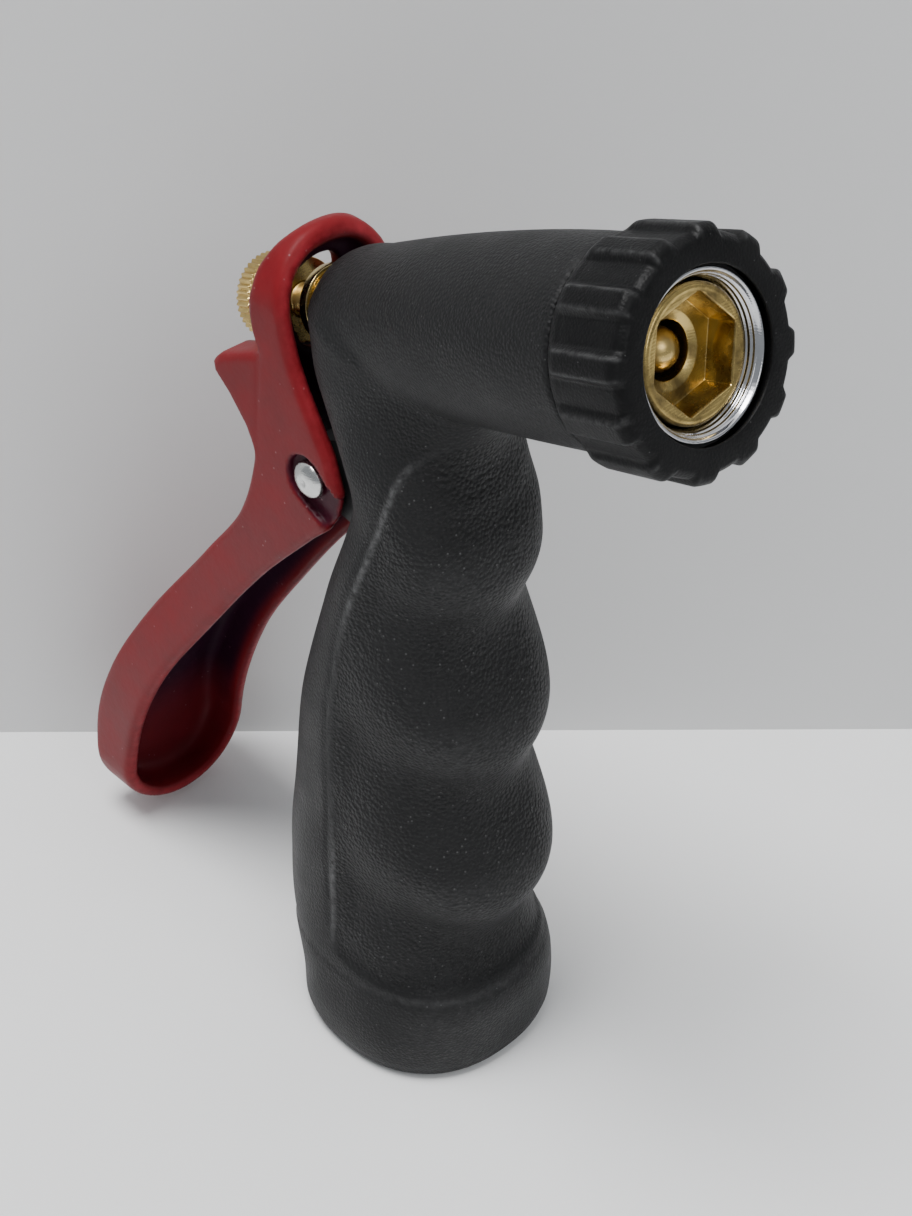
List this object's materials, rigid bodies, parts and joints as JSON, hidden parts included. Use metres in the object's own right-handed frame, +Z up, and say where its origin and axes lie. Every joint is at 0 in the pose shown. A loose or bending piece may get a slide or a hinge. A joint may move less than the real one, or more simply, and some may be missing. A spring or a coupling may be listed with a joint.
{
  "type": "pistol-grip hose nozzle",
  "caption": "Pistol-grip water nozzle with finger-grooved rubber grip, fluted front bumper, brass hexagon seat in the mouth and a sprung rear squeeze lever.",
  "frame": {"origin": "middle of the footprint's bounding box, on the floor that the grip's foot stands on", "axes": "+Z up the grip and the inlet's axis, -Y towards the spray mouth, +Y towards the lever, X across, with the plane X = 0 as the symmetry plane"},
  "size_m": [0.0362, 0.1226, 0.1539],
  "materials": {
    "casting": "black powder coat over a grey zinc casting",
    "cover": "black moulded rubber with a fine leather grain",
    "bumper": "smooth black rubber, slightly glossy",
    "chrome": "bright chrome plate",
    "seat_brass": "bright machined brass",
    "gland_brass": "polished, lightly nickel-toned brass",
    "brass": "machined brass",
    "seal": "black nitrile rubber",
    "spring": "stainless spring wire",
    "lever": "satin red enamel on a zinc casting",
    "steel": "bright zinc-plated steel",
    "nylon": "natural nylon"
  },
  "bodies": {
    "nozzle": {"body_casting": "casting", "rubber_cover": "cover", "front_bumper": "bumper", "outlet_collar": "chrome", "seat_insert": "seat_brass", "seat_gasket": "seal", "hose_washer": "seal", "stem_packing": "seal", "packing_washer": "brass", "gland_nut": "gland_brass", "spring_seat": "brass", "return_spring": "spring", "pivot_rivet": "steel", "rivet_retainer": "steel", "spacer_left": "nylon", "spacer_right": "nylon"},
    "lever": {"squeeze_lever": "lever"},
    "valve": {"valve_stem": "brass", "stem_tip": "brass", "valve_seal": "seal", "valve_washer": "brass"},
    "nut carriage": {"nut_washer": "brass"},
    "adjusting nut": {"adjusting_nut": "brass"}
  },
  "joints": [
    {"name": "lever_squeeze", "type": "hinge", "parent": "nozzle", "child": "lever", "pos_m": [0, 0.00331, 0.0973], "axis": [-1, 0, 0], "range_deg": [0, 14], "stiffness_Nm_per_rad": 0.5, "springref_deg": -14.32},
    {"name": "valve_slide", "type": "slide", "parent": "nozzle", "child": "valve", "axis": [0, 0.9483, -0.3173], "range_m": [0, 0.0053], "deforming": ["return_spring"]},
    {"name": "nut_travel", "type": "slide", "parent": "valve", "child": "nut carriage", "axis": [0, 0.9483, -0.3173], "range_m": [0, 0.00215]},
    {"name": "nut_spin", "type": "hinge", "parent": "nut carriage", "child": "adjusting nut", "pos_m": [0, 0.01842, 0.1152], "axis": [0, 0.9483, -0.3173], "range_deg": [0, 720]}
  ],
  "couplings": [
    {"joint": "valve_slide", "follows": "lever_squeeze", "m_per_rad": 0.0213},
    {"joint": "nut_travel", "follows": "nut_spin", "m_per_rad": 0.000169}
  ]
}
